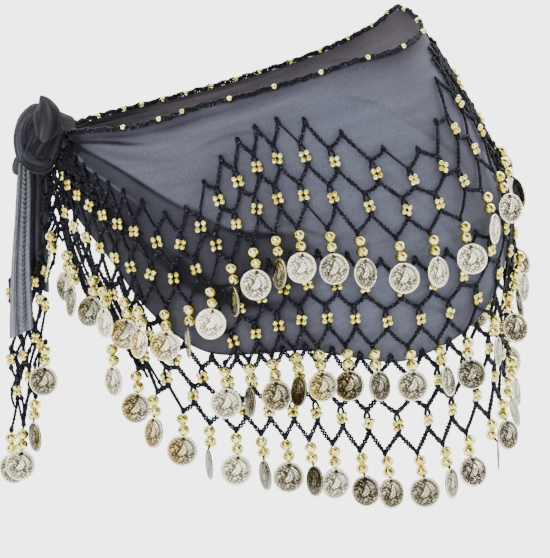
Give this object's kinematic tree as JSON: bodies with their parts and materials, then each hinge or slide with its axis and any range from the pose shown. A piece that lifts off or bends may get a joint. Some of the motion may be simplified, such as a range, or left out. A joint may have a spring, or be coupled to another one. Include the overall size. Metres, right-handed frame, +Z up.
{
  "type": "belly dance hip scarf",
  "caption": "Sheer hip scarf worn with no wearer and knotted at one hip, with tiers of crocheted net, beads and hanging coins.",
  "frame": {"origin": "middle of the waist opening, at the height of the waist edge over the middle of the body", "axes": "+Z up along the body, -Y the side seen in the picture, -X towards the hip where the knot is"},
  "size_m": [0.3929, 0.2639, 0.3568],
  "materials": {
    "sheer_cloth": "sheer matte chiffon",
    "crochet_net": "matte cotton yarn with strung metal-coloured beads and coins",
    "coin": "stamped pale gold plating, slightly worn",
    "bead": "metallised gold plastic"
  },
  "bodies": {
    "root": {"cloth_wrap": "sheer_cloth", "knot": "sheer_cloth", "tail_front": "sheer_cloth", "tail_back": "sheer_cloth", "net_upper": "crochet_net", "net_middle": "crochet_net", "net_lower_near": "crochet_net", "net_lower_far": "crochet_net", "tail_net": "crochet_net", "waist_edging": "crochet_net"}
  },
  "joints": []
}
